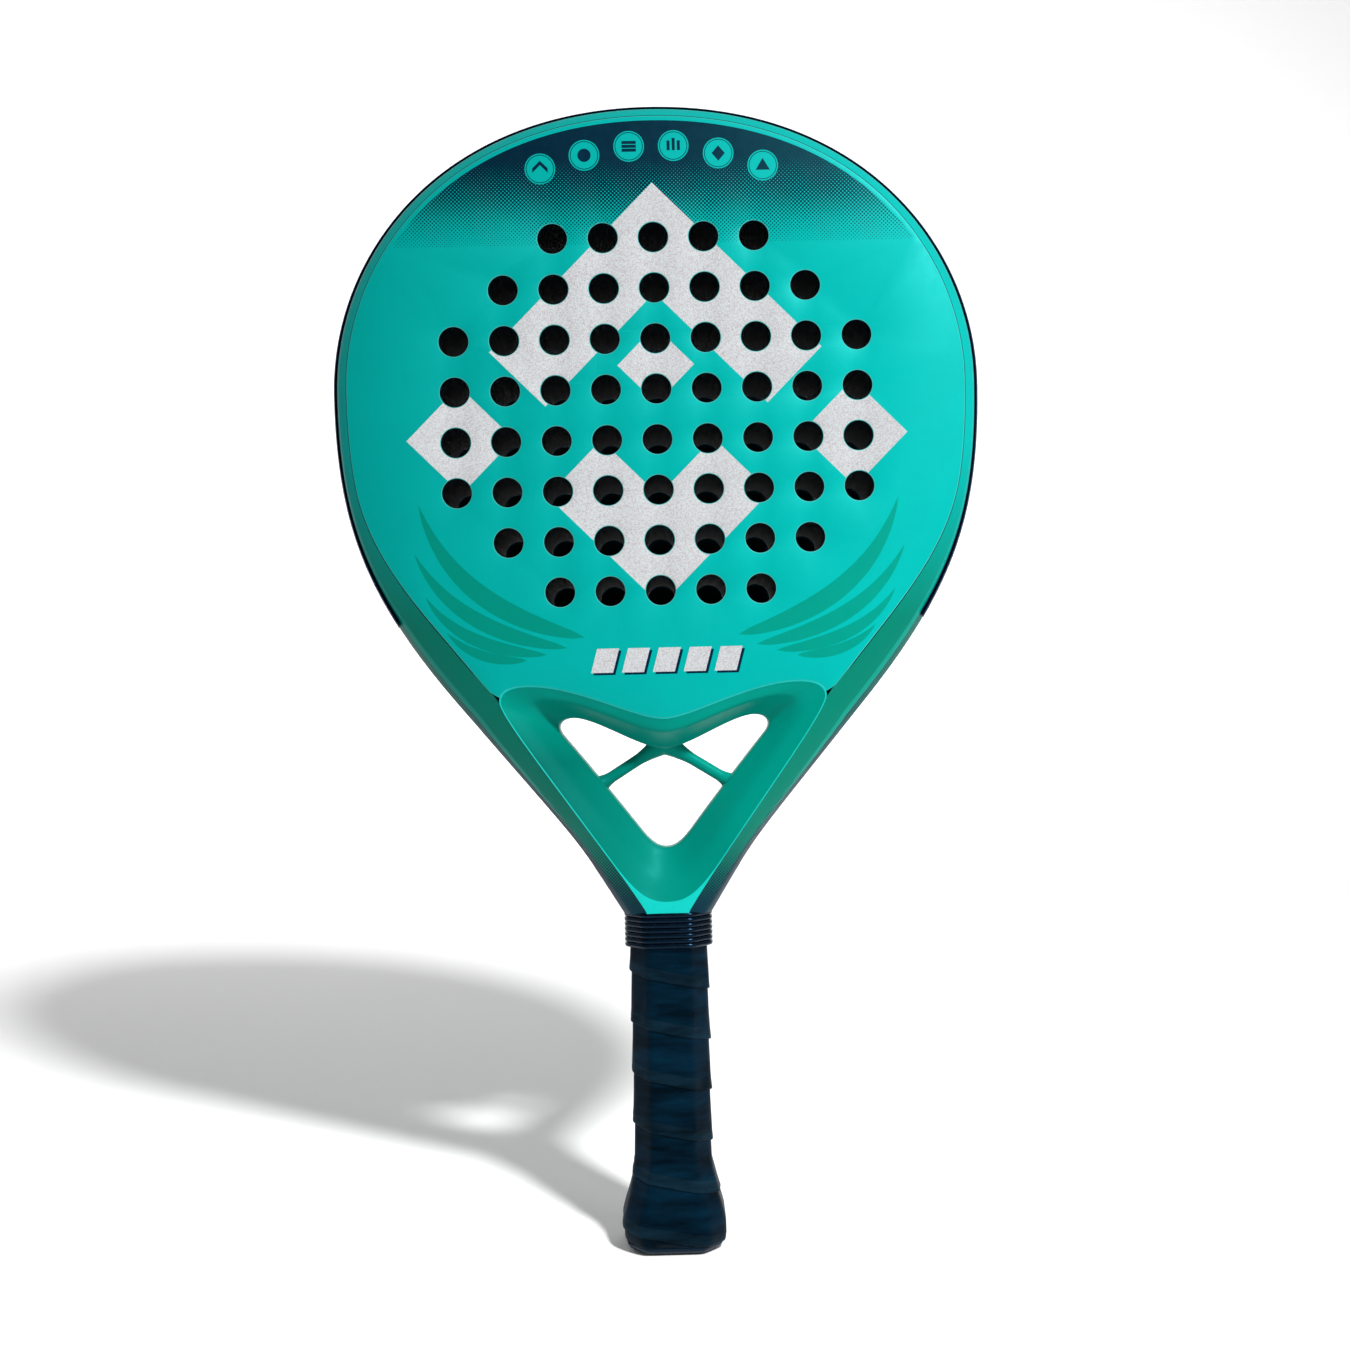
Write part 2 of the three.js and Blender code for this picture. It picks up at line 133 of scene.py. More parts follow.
def half_thickness(z):
    return mix(NECK_HALF_THICK, HALF_THICK, ease(SHOULDER_Z, NECK_TAPER_Z, z))


def bevel_share(z):
    return 1 - ease(225, 305, z)


def face_edge(z):
    return mix(CROWN_EDGE, FLANK_EDGE, bevel_share(z))


# ---- materials ----
def srgb(r, g, b):
    """A colour from its 8-bit values, as linear light."""
    linear = [(v / 255 / 12.92) if v <= 10 else ((v / 255 + 0.055) / 1.055) ** 2.4 for v in (r, g, b)]
    return (*linear, 1)


class Finish:
    """A procedural material on object coordinates, in metres."""

    def __init__(self, name, color, roughness):
        self.material = bpy.data.materials.new(name)
        self.material.use_nodes = True
        self.nodes = self.material.node_tree.nodes
        self.links = self.material.node_tree.links
        self.shader = self.nodes["Principled BSDF"]
        self.shader.inputs["Base Color"].default_value = color
        self.shader.inputs["Roughness"].default_value = roughness
        self.place = self.nodes.new("ShaderNodeTexCoord").outputs["Object"]

    def node(self, kind, **values):
        """A new node; each value is for the input of that name, or else for the property."""
        made = self.nodes.new(kind)
        for key, value in values.items():
            if key in made.inputs:
                made.inputs[key].default_value = value
            else:
                setattr(made, key, value)
        return made

    def along(self, axis):
        """The object coordinate on one axis."""
        split = self.node("ShaderNodeSeparateXYZ")
        self.links.new(self.place, split.inputs[0])
        return split.outputs[axis]

    def noise(self, scale, detail=3, stretch=None):
        made = self.node("ShaderNodeTexNoise", Scale=scale, Detail=detail)
        place = self.place
        if stretch:
            mapping = self.node("ShaderNodeMapping", Scale=stretch)
            self.links.new(place, mapping.inputs["Vector"])
            place = mapping.outputs[0]
        self.links.new(place, made.inputs["Vector"])
        return made.outputs["Fac"]

    def remap(self, value, low, high, to_low, to_high):
        made = self.node("ShaderNodeMapRange")
        numbers = {"From Min": low, "From Max": high, "To Min": to_low, "To Max": to_high}
        for key, number in numbers.items():
            made.inputs[key].default_value = number
        self.links.new(value, made.inputs["Value"])
        return made.outputs["Result"]

    def vary(self, factor, first, second):
        """The base colour runs from first to second as the factor goes from 0 to 1."""
        ramp = self.node("ShaderNodeValToRGB")
        ramp.color_ramp.elements[0].color = first
        ramp.color_ramp.elements[1].color = second
        self.links.new(factor, ramp.inputs["Fac"])
        self.links.new(ramp.outputs["Color"], self.shader.inputs["Base Color"])
        return ramp

    def paint_left_shade(self, left, start=-0.12, end=0.09, share=None):
        """Painted shade: darkens the base colour towards the racket's left side, down to a share of itself.
        """
        link = self.shader.inputs["Base Color"].links[0]
        scale = self.node("ShaderNodeVectorMath", operation="SCALE")
        self.links.new(link.from_socket, scale.inputs[0])
        amount = self.remap(self.along("X"), start, end, left, 1)
        if share:
            self.links.new(share, amount.node.inputs["To Min"])
        self.links.new(amount, scale.inputs["Scale"])
        self.links.new(scale.outputs[0], self.shader.inputs["Base Color"])

    def sheen(self, level, tint):
        self.shader.inputs["Specular IOR Level"].default_value = level
        self.shader.inputs["Specular Tint"].default_value = tint

    def grain(self, height, distance, strength=0.5):
        bump = self.node("ShaderNodeBump", Strength=strength, Distance=distance)
        self.links.new(height, bump.inputs["Height"])
        self.links.new(bump.outputs["Normal"], self.shader.inputs["Normal"])

    def gloss(self, value, low, high):
        self.links.new(self.remap(value, 0.3, 0.7, low, high), self.shader.inputs["Roughness"])


def scaled(color, k):
    return (color[0] * k, color[1] * k, color[2] * k, 1)


def lacquer(name, color, roughness=0.42, mottled=True):
    """Sprayed lacquer with a faint orange peel."""
    finish = Finish(name, color, roughness)
    if mottled:
        finish.vary(finish.noise(40, 4), scaled(color, 0.93), scaled(color, 1.06))
    finish.gloss(finish.noise(260, 4), roughness - 0.04, roughness + 0.05)
    finish.grain(finish.noise(1600, 2), 0.00004, 0.35)
    finish.sheen(0.3, TEAL_SHEEN)
    return finish


# How far the band's ramp runs past the dots' own range of -1 to 1, and how soft each dot's edge is.
HALFTONE_SPREAD, HALFTONE_EDGE = 1.15, 0.25


def halftone_height(finish, low, high, cell):
    """0 below and 1 above, through a band from low to high that is broken into fine dots."""
    def wave(axis):
        scale = finish.node("ShaderNodeMath", operation="MULTIPLY")
        scale.inputs[1].default_value = 2 * math.pi / (cell * MM)
        finish.links.new(finish.along(axis), scale.inputs[0])
        sine = finish.node("ShaderNodeMath", operation="SINE")
        finish.links.new(scale.outputs[0], sine.inputs[0])
        return sine.outputs[0]

    dots = finish.node("ShaderNodeMath", operation="MULTIPLY")
    finish.links.new(wave("X"), dots.inputs[0])
    finish.links.new(wave("Z"), dots.inputs[1])
    ramp = finish.remap(finish.along("Z"), low * MM, high * MM, -HALFTONE_SPREAD, HALFTONE_SPREAD)
    total = finish.node("ShaderNodeMath", operation="ADD")
    finish.links.new(dots.outputs[0], total.inputs[0])
    finish.links.new(ramp, total.inputs[1])
    return finish.remap(total.outputs[0], -HALFTONE_EDGE, HALFTONE_EDGE, 0, 1)


TEAL = srgb(0, 167, 160)
GREEN = srgb(0, 116, 95)
NAVY = srgb(1, 18, 46)
TEAL_SHEEN = (0.1, 0.9, 0.9, 1)
NAVY_SHEEN = (0.15, 0.45, 0.8, 1)
# Painted shade: the share of its colour that a lacquer keeps at the racket's left side.
LEFT_SHADE_SHARE = 0.62
TEAL_FROM_Z = (0.25, 0.32)


def faded(name, color, low, high, roughness):
    """Lacquer that turns to the face's teal up the flank and breaks up into navy at the neck, with painted
    shade darker towards the left.
    """
    finish = lacquer(name, color, roughness, mottled=False)
    ramp = finish.vary(finish.remap(finish.along("Z"), *TEAL_FROM_Z, 0, 1), color, TEAL)
    blend = finish.node("ShaderNodeMix", data_type="RGBA")
    blend.inputs[6].default_value = NAVY
    finish.links.new(ramp.outputs["Color"], blend.inputs[7])
    finish.links.new(halftone_height(finish, low, high, 1.3), blend.inputs[0])
    finish.links.new(blend.outputs[2], finish.shader.inputs["Base Color"])
    finish.paint_left_shade(LEFT_SHADE_SHARE)
    return finish


# Adds painted shade, darker towards the racket's left side.
def with_left_shade(finish):
    finish.paint_left_shade(LEFT_SHADE_SHARE)
    return finish


# The arms' painted shade gives way to the bridge's lighter painted shade over these heights, in metres.
BRIDGE_FROM_Z = (0.196, 0.216)
# The share of the colour kept at the left, as painted shade, on the arms and on the bridge.
ARM_SHADE_SHARE, BRIDGE_SHADE_SHARE = 0.3, 0.75


def throat_lacquer():
    """Green-teal lacquer with painted shade that darkens it towards the left, most on the left arm and less
    on the bridge.
    """
    finish = lacquer("throat_teal", srgb(0, 140, 124), 0.42)
    finish.sheen(0.15, TEAL_SHEEN)
    share = finish.remap(finish.along("Z"), *BRIDGE_FROM_Z, ARM_SHADE_SHARE, BRIDGE_SHADE_SHARE)
    finish.paint_left_shade(ARM_SHADE_SHARE, -0.06, 0.03, share)
    return finish


def make_materials():
    crown = lacquer("crown_navy", NAVY, 0.4, mottled=False)
    crown.vary(halftone_height(crown, 391, 432, 1.5), TEAL, NAVY)
    # Most lacquers here carry painted shade, darker towards the racket's left side.
    made = {
        "teal": with_left_shade(lacquer("face_teal", TEAL)),
        "bevel": faded("bevel_green", GREEN, 136, 172, 0.36),
        "facet": faded("facet_green", srgb(0, 140, 122), 150, 200, 0.34),
        "flank": faded("flank_green", srgb(0, 98, 84), 165, 262, 0.36),
        "side": lacquer("side_navy", NAVY, 0.34),
        "crown": with_left_shade(crown),
        "navy": lacquer("mark_navy", NAVY, 0.4),
        "wing": with_left_shade(lacquer("wing_teal", srgb(0, 140, 122))),
        "white": gritty_white(),
        "throat": throat_lacquer(),
        # The ridge along the throat's recess edge is a lighter teal: a painted highlight.
        "ridge": with_left_shade(lacquer("ridge_painted_highlight", srgb(20, 196, 186), 0.3)),
        "ring": with_left_shade(lacquer("hole_edge", srgb(70, 172, 168), 0.4)),
        "foam": foam(),
        "protector": moulded("protector_navy", srgb(2, 16, 40), 0.38),
        "plastic": moulded("handle_moulding", srgb(24, 26, 30), 0.55),
        "cap": moulded("cap_plastic", srgb(4, 14, 26), 0.45),
        "grip": grip_skin("grip_pu", srgb(1, 15, 26)),
        # A lighter film on the laps' edges: a painted highlight.
        "grip_lap_highlight": grip_skin("grip_lap_painted_highlight", srgb(6, 21, 30)),
        "base": grip_skin("base_grip_pu", srgb(16, 20, 26)),
        "collar": moulded("collar_rubber", srgb(1, 5, 14), 0.22),
        "tape": moulded("tape", srgb(10, 16, 30), 0.5),
    }
    return {key: finish.material for key, finish in made.items()}


def gritty_white():
    color = srgb(174, 180, 182)
    finish = Finish("gritty_white", color, 0.7)
    ramp = finish.vary(finish.noise(2400, 3), srgb(164, 156, 160), srgb(184, 190, 192))
    finish.sheen(0.2, (1, 1, 1, 1))
    ramp.color_ramp.elements[0].position = 0.36
    ramp.color_ramp.elements[1].position = 0.56
    finish.grain(finish.noise(1900, 3), 0.0002, 0.7)
    return finish


def foam():
    finish = Finish("core_foam", srgb(1, 4, 9), 0.9)
    finish.vary(finish.noise(700, 5), srgb(0, 3, 7), srgb(1, 8, 15))
    finish.sheen(0.05, NAVY_SHEEN)
    finish.grain(finish.noise(1400, 4), 0.0004, 0.8)
    return finish


def moulded(name, color, roughness):
    finish = Finish(name, color, roughness)
    finish.vary(finish.noise(60, 4), scaled(color, 0.85), scaled(color, 1.15))
    finish.gloss(finish.noise(500, 4), roughness - 0.05, roughness + 0.07)
    finish.grain(finish.noise(2600, 2), 0.00005, 0.4)
    finish.sheen(0.35, NAVY_SHEEN)
    return finish


def grip_skin(name, color):
    """Tacky polyurethane film with a fine dry grain; the streaky tone along the wrap is partly the film's own
    and its bright streaks are painted reflections.
    """
    finish = Finish(name, color, 0.5)
    ramp = finish.vary(finish.noise(45, 7, (1, 1, 4.5)), scaled(color, 0.45), scaled(color, 2.6))
    ramp.color_ramp.elements[0].position = 0.36
    ramp.color_ramp.elements[1].position = 0.68
    finish.gloss(finish.noise(90, 6), 0.4, 0.62)
    finish.grain(finish.noise(1500, 6), 0.00016, 0.7)
    finish.sheen(0.08, NAVY_SHEEN)
    return finish


# ---- mesh helpers ----
def make_object(name, bm, keys, sharp=30):
    mesh = bpy.data.meshes.new(name)
    for vert in bm.verts:
        vert.co *= MM
    bmesh.ops.remove_doubles(bm, verts=bm.verts, dist=1e-7)
    bmesh.ops.dissolve_degenerate(bm, edges=bm.edges, dist=1e-7)
    bmesh.ops.recalc_face_normals(bm, faces=bm.faces)
    bm.to_mesh(mesh)
    bm.free()
    mesh.shade_smooth()
    mesh.set_sharp_from_angle(angle=math.radians(sharp))
    for key in keys:
        mesh.materials.append(MATERIALS[key])
    obj = bpy.data.objects.new(name, mesh)
    bpy.context.collection.objects.link(obj)
    return obj


def skin(rings, band=lambda i, j: 0, joined=False, lids=True):
    """A mesh over rings of equal length, each closed on itself."""
    bm = bmesh.new()
    rows = [[bm.verts.new(p) for p in ring] for ring in rings]
    count = len(rows[0])
    pairs = list(zip(rows, rows[1:])) + ([(rows[-1], rows[0])] if joined else [])
    for i, (low, high) in enumerate(pairs):
        for j in range(count):
            k = (j + 1) % count
            face = bm.faces.new((low[j], low[k], high[k], high[j]))
            face.material_index = band(i, j)
    if lids and not joined:
        bm.faces.new(rows[0])
        bm.faces.new(rows[-1])
    return bm


def lift(point, y):
    return (point[0], y, point[1])


def mirrored(points):
    return [(-x, z) for x, z in points]


def whole(right):
    """A closed outline from its right half, which starts and ends on the axis."""
    return [tuple(p) for p in right] + mirrored(right)[::-1][1:-1]


# ---- frame hoop ----
# Half of the hoop's section as [distance from the rim, drop below the face], at the crown and on
# the bevelled flanks.
CROWN = [(0, 19), (0, 14), (0.15, 11.4), (0.45, 9.6), (0.95, 7.8), (1.6, 6.2), (2.4, 4.4), (3.3, 2.7),
         (3.6, 2.4), (5.2, 1.3), (6.5, 0.4), (6.75, 0.25)]
FLANK = [(0, 19), (0, 14), (0.1, 11.6), (0.3, 9.6), (1.1, 8.2), (2.4, 6.5), (2.7, 6.1), (4.1, 4.8),
         (4.5, 4.5), (9, 2.4), (13.1, 0.45), (13.4, 0.3)]
SIDE_BANDS, FACET_BANDS = 5, 7
HOOP_WIDTH = 14.2
GROOVE_DEPTH, HEAD_LOW_Z = 1.4, 222
PROTECTOR_END_Z = 251
# The bumper's section as (distance in from the rim, place in the thickness).
PROTECTOR = [(0.05, -9), (0.0, 0), (0.05, 9), (0.5, 12.4), (1.05, 13.7), (1.5, 13.9), (1.3, 12), (0.9, 8),
             (0.9, -8), (1.3, -12), (1.5, -13.9), (1.05, -13.7), (0.5, -12.4)]


def hoop_stations():
    stations = []
    for share in np.linspace(0, FLANK_END, 130):
        stations.append((RIM.at(share), RIM.inward(share), HOOP_WIDTH))
    for share in np.linspace(0.01, 1, 70):
        inner = RIDGE.at(share)
        at = RIM.nearest(inner)
        reach = inner - at
        width = np.linalg.norm(reach)
        stations.append((at, reach / width, width))
    stations.append((np.array([17.2, NECK_Z]), np.array([-1.0, 0.0]), 9))
    return stations


def hoop_ring(at, inward, width):
    full = half_thickness(at[1])
    bevel = bevel_share(at[1])
    narrow = min(1, width / FLANK_EDGE)
    reach = min(face_edge(at[1]), width)
    half = []
    for (crown, crown_drop), (flank, flank_drop) in zip(CROWN, FLANK):
        d = min(mix(crown, flank * narrow, bevel), reach)
        half.append((d, -(full - mix(crown_drop, flank_drop, bevel) * (full / HALF_THICK))))
    seated = width > 13 and at[1] > HEAD_LOW_Z
    floor = full - (GROOVE_DEPTH if seated else 0.05)
    half += [(reach + 0.02, -floor), (max(width, reach + 0.05), -floor)]
    loop = half[1:] + [(d, -y) for d, y in half[::-1]]
    return [lift(at + inward * d, y) for d, y in loop]


def mirror_ring(ring):
    return [(-x, y, z) for x, y, z in ring]


def build_hoop():
    right = [hoop_ring(*station) for station in hoop_stations()]
    rings = [mirror_ring(r) for r in right[:0:-1]] + right
    count = len(rings[0])
    half = len(CROWN) + 1

    def band(i, j):
        place = j + 1 if j < half else count - j - 1
        if place <= SIDE_BANDS:
            return 0 if rings[i][0][2] > PROTECTOR_END_Z else 1
        return 2 if place <= FACET_BANDS else 3

    return make_object("frame_shell", skin(rings, band), ("side", "flank", "facet", "bevel"), 24)


def build_protector():
    right = []
    for share in np.linspace(0, FLANK_END, 150):
        at, inward = RIM.at(share), RIM.inward(share)
        if at[1] >= PROTECTOR_END_Z:
            right.append([lift(at + inward * d, y) for d, y in PROTECTOR])
    rings = [mirror_ring(r) for r in right[:0:-1]] + right
    return make_object("bumper_strip", skin(rings), ("protector",), 40)


# ---- faces and core ----
PITCH, HOLE_Z, ROWS_ABOVE = 19.7, 322.0, 4
HOLES_PER_ROW = [5, 7, 9, 9, 9, 9, 7, 5]
HOLE_EDGE, HOLE_RADIUS, HOLE_SEGMENTS = 6.1, 5.75, 48


def hole_centres():
    return [
        ((i - (count - 1) / 2) * PITCH, HOLE_Z + (ROWS_ABOVE - row) * PITCH)
        for row, count in enumerate(HOLES_PER_ROW)
        for i in range(count)
    ]


def circle(centre, radius, segments=HOLE_SEGMENTS):
    turns = np.linspace(0, 2 * math.pi, segments, endpoint=False)
    return [(centre[0] + radius * math.cos(a), centre[1] + radius * math.sin(a)) for a in turns]


def head_outline(distance):
    """Inside the rim by a distance that depends on the height, and closed above the throat."""
    right = []
    for share in np.linspace(0, FLANK_END, 110):
        at = RIM.at(share)
        p = at + RIM.inward(share) * distance(at[1])
        if p[1] > HEAD_LOW_Z - 0.5:
            right.append(p)
    lower = []
    for share in np.linspace(0, 1, 40):
        p = THROAT_TOP.at(share) - THROAT_TOP.inward(share) * 0.25
        if np.linalg.norm(RIM.nearest(p) - p) > distance(p[1]) + 0.2:
            lower.append(p)
    return whole(right + lower[::-1])


def inside(points, loop):
    loop = np.array(loop)
    ahead = np.roll(loop, -1, axis=0)
    x, z = points[:, :1], points[:, 1:]
    crosses = (loop[:, 1] > z) != (ahead[:, 1] > z)
    rise = ahead[:, 1] - loop[:, 1]
    rise[rise == 0] = 1e-12
    at = loop[:, 0] + (z - loop[:, 1]) * (ahead[:, 0] - loop[:, 0]) / rise
    return (crosses & (x < at)).sum(axis=1) % 2 == 1


def flat_mesh(outline, radius, marks, y):
    """The plate's front skin at height y, with its holes open and each mark in its own material."""
    holes = [circle(c, radius) for c in hole_centres()]
    loops = [outline] + holes + [loop for loop, _ in marks]
    points, edges = [], []
    for loop in loops:
        start, count = len(points), len(loop)
        points += [Vector(p) for p in loop]
        edges += [(start + i, start + (i + 1) % count) for i in range(count)]
    found = delaunay_2d_cdt(points, edges, [], 0, 1e-4)
    flat = np.array([tuple(p) for p in found[0]])
    triangles = np.array(found[2])
    centres = flat[triangles].mean(axis=1)
    keep = inside(centres, outline)
    for centre in hole_centres():
        keep &= np.linalg.norm(centres - centre, axis=1) > radius * math.cos(math.pi / HOLE_SEGMENTS) - 0.005
    index = np.zeros(len(centres), int)
    for loop, material in marks:
        index[inside(centres, loop)] = material
    bm = bmesh.new()
    verts = [bm.verts.new((x, y, z)) for x, z in flat]
    for triangle, material, kept in zip(triangles, index, keep):
        if kept:
            bm.faces.new([verts[i] for i in triangle]).material_index = int(material)
    loose = [v for v in bm.verts if not v.link_faces]
    bmesh.ops.delete(bm, geom=loose, context="VERTS")
    return bm


def edge_normals(edges):
    """For each vertex of the open edges, the direction in the plate's plane away from the plate."""
    away = {}
    for edge in edges:
        a, b = edge.verts
        along = b.co - a.co
        out = Vector((along.z, 0, -along.x)).normalized()
        if out.dot(edge.link_faces[0].calc_center_median() - a.co) > 0:
            out = -out
        for vert in edge.verts:
            away[vert] = away.get(vert, Vector()) + out
    return {vert: out.normalized() for vert, out in away.items()}


def turn_down(bm, steps):
    """Rounds the open edges off: each step is (reach outward, move along y, material)."""
    for reach, down, material in steps:
        edges = [e for e in bm.edges if len(e.link_faces) == 1]
        away = edge_normals(edges) if reach else {}
        grown = bmesh.ops.extrude_edge_only(bm, edges=edges)["geom"]
        ends = [v for g in grown if isinstance(g, bmesh.types.BMEdge) for v in g.verts]
        for vert in dict.fromkeys(ends):
            old = [e.other_vert(vert) for e in vert.link_edges if e.other_vert(vert) in away]
            if reach and old:
                vert.co += away[old[0]] * reach
            vert.co.y += down
        for face in (g for g in grown if isinstance(g, bmesh.types.BMFace)):
            face.material_index = material


FACE_KEYS = ("teal", "crown", "white", "wing", "navy", "ring", "foam")
FACE_GAP = 0.45
# Each as (reach outward, move along y, number of the material): a small round, then the hole's wall.
FACE_EDGE_STEPS = [(0.13, 0.04, 5), (0.15, 0.14, 5), (0.07, 0.3, 6), (0, 0.75, 6)]
CORE_INSET, CORE_HALF = 14.0, 18.0


def build_face(name, side):
    outline = head_outline(lambda z: face_edge(z) + FACE_GAP)
    bm = flat_mesh(outline, HOLE_EDGE, face_marks(), -HALF_THICK)
    turn_down(bm, FACE_EDGE_STEPS)
    if side > 0:
        for vert in bm.verts:
            vert.co.y = -vert.co.y
    return make_object(name, bm, FACE_KEYS, 50)


def build_core():
    bm = flat_mesh(head_outline(lambda z: CORE_INSET), HOLE_RADIUS, [], -CORE_HALF)
    shifted = bmesh.ops.duplicate(bm, geom=bm.faces[:] + bm.edges[:] + bm.verts[:])["geom"]
    front = [e for e in bm.edges if len(e.link_faces) == 1 and e not in set(shifted)]
    for vert in (g for g in shifted if isinstance(g, bmesh.types.BMVert)):
        vert.co.y = CORE_HALF
    grown = bmesh.ops.extrude_edge_only(bm, edges=front)["geom"]
    for vert in (g for g in grown if isinstance(g, bmesh.types.BMVert)):
        vert.co.y = CORE_HALF
    return make_object("foam_core", bm, ("foam",), 40)


# ---- printed marks, as outlines on the face with the number of their material ----
CROWN_MARK_INSET, CROWN_MARK_LOW_Z = 8.8, 398


def crown_mark():
    right = []
    for share in np.linspace(0, 0.5, 60):
        at = RIM.at(share)
        p = at + RIM.inward(share) * CROWN_MARK_INSET
        if p[1] > CROWN_MARK_LOW_Z:
            right.append(p)
    right.append(np.array([right[-1][0] - 0.5, CROWN_MARK_LOW_Z]))
    right.append(np.array([0, CROWN_MARK_LOW_Z]))
    return whole(right)


def block_marks():
    """White blocks at 45 degrees: a chevron above, one below, and a diamond on either side."""
    top = [(0, 422), (65, 357), (43.5, 335.5), (0, 379), (-43.5, 335.5), (-65, 357)]
    low = [(0, 257), (43.5, 300.5), (22, 322), (0, 300), (-22, 322), (-43.5, 300.5)]
    diamond = [(77, 344), (98, 323), (77, 302), (56, 323)]
    centre = [(0, 366), (15, 351), (0, 336), (-15, 351)]
    return [top, low, diamond, mirrored(diamond)[::-1], centre]


def blade(root, bend, tip, width):
    """A curved leaf from root to tip."""
    root, bend, tip = (np.array(p, float) for p in (root, bend, tip))
    left, right = [], []
    for t in np.linspace(0, 1, 22):
        p = (1 - t) ** 2 * root + 2 * (1 - t) * t * bend + t * t * tip
        along = 2 * (1 - t) * (bend - root) + 2 * t * (tip - bend)
        across = np.array([-along[1], along[0]]) / np.linalg.norm(along)
        half = width / 2 * math.sin(math.pi * min(1, t**0.75)) ** 0.8 if 0 < t < 1 else 0
        left.append(tuple(p + across * half))
        if 0 < t < 1:
            right.append(tuple(p - across * half))
    return left + right[::-1]


BLADES = [
    ((30, 245), (82, 256), (94, 298), 7.5),
    ((37, 241), (82, 248), (96, 279), 6),
    ((45, 238.5), (80, 241), (92, 262), 5),
    ((53, 236.5), (74, 236), (84, 248), 4),
]
BADGES = [(8.7, 436.2), (26.2, 433), (43.5, 428)]


def bar_marks():
    """A row of slanted bars below the holes, each over a dark offset copy."""
    marks = []
    for i in range(5):
        x = -28 + 12.1 * i
        bar = [(x, 231), (x + 8.6, 231), (x + 11.2, 240.5), (x + 2.6, 240.5)]
        marks.append(([(px + 0.9, pz - 0.9) for px, pz in bar], 4))
        marks.append((bar, 2))
    return marks


def badge_marks():
    """Plain round badges: a thin ring and a simple sign of bars, a diamond or a triangle."""
    marks = []
    for side in (-1, 1):
        for number, (x, z) in enumerate(BADGES):
            x *= side
            marks += [(circle((x, z), 6), 0), (circle((x, z), 5.5), 4), (circle((x, z), 5.2), 0)]
            kind = number if side > 0 else number + 3
            marks += [([(x + px, z + pz) for px, pz in sign], 4) for sign in SIGNS[kind]]
    return marks


def box(x0, z0, x1, z1):
    return [(x0, z0), (x1, z0), (x1, z1), (x0, z1)]


SIGNS = [
    [box(-2.6, -1.8, -1.4, 2.0), box(-0.6, -1.8, 0.6, 3.0), box(1.4, -1.8, 2.6, 2.0)],
    [[(0, 3), (2.6, 0), (0, -3), (-2.6, 0)]],
    [[(-2.8, -1.8), (2.8, -1.8), (0, 2.8)]],
    [box(-2.8, 0.9, 2.8, 2.1), box(-2.8, -0.6, 2.8, 0.6), box(-2.8, -2.1, 2.8, -0.9)],
    [circle((0, 0), 2.6, 24)],
    [[(-3, -1.5), (0, 1.5), (3, -1.5), (3, 0.3), (0, 3.2), (-3, 0.3)]],
]


def face_marks():
    blades = [blade(*shape) for shape in BLADES]
    marks = [(crown_mark(), 1)]
    marks += [(loop, 2) for loop in block_marks()]
    marks += [(loop, 3) for loop in blades + [mirrored(b)[::-1] for b in blades]]
    return marks + bar_marks() + badge_marks()


# ---- throat ----
# Drop below the face across the slope, from the outer edge to the opening.
ACROSS = [0, 0.025, 0.05, 0.12, 0.25, 0.38, 0.44, 0.5, 0.62, 0.78, 0.9, 0.97, 1.0]
BRIDGE_DROP = [0, 0.1, 0.35, 0.75, 1.35, 2.0, 2.6, 4.2, 7.4, 10.6, 12.2, 12.9, 13.6]
ARM_DROP = [0, 0.1, 0.4, 1.1, 2.3, 3.6, 4.3, 5.1, 7.0, 9.8, 11.8, 12.8, 13.6]
LIP = 6
# The slope leaves the ridge here and runs round the bottom of the throat; a flat is left below.
BOWL_START, RIDGE_SHARE = 0.68, 0.88


def throat_stations():
    """Each as (edge of the flat, start of the slope, edge of the opening, likeness to the bridge)."""
    stations = []
    for share in np.linspace(0, 1, 60):
        weight = 1 - ease(0.72, 1.0, share)
        edge = THROAT_TOP.at(share)
        stations.append((edge, edge, OPENING_TOP.at(share), weight))
    start = RIDGE.at(BOWL_START / RIDGE_SHARE)
    bowl = Path([start, RIDGE.at(0.95) + [0.5, 1.5], (7, 139.7), (0, 139.7)])
    for share in np.linspace(0, 1, 90)[1:]:
        edge = RIDGE.at(share / RIDGE_SHARE)
        if share > RIDGE_SHARE:
            edge = np.array([8.6 * (1 - share) / (1 - RIDGE_SHARE), NECK_Z])
        slope = edge if share < BOWL_START else bowl.at((share - BOWL_START) / (1 - BOWL_START))
        stations.append((edge, slope, OPENING_SIDE.at(share), 0.0))
    return stations


def throat_section(edge, outer, inner, weight):
    full = half_thickness(outer[1])
    points = [lift(edge, -half_thickness(edge[1]))]
    for across, bridge, arm in zip(ACROSS, BRIDGE_DROP, ARM_DROP):
        drop = mix(arm, bridge, weight) * (full - LIP + 0.6) / 13.6
        points.append(lift(outer + (inner - outer) * across, -(full - drop)))
    return points + [(x, -y, z) for x, y, z in points[::-1]]


def build_throat():
    right = [throat_section(*station) for station in throat_stations()]
    rings = right + [mirror_ring(r) for r in right[-2:0:-1]]
    flat_and_highlit_ridge = (0, 1, len(rings[0]) - 3, len(rings[0]) - 2)

    # The edge flat and the ridge get the lighter teal, a painted highlight.
    def band(i, j):
        return 1 if j in flat_and_highlit_ridge else 0

    return make_object("throat_bridge", skin(rings, band, joined=True), ("throat", "ridge"), 50)


# A brace thickens over these lengths towards the bridge and towards the arm.
BRACE_RADIUS, BRACE_ROOT, BRACE_FOOT = 2.35, 13, 7.5


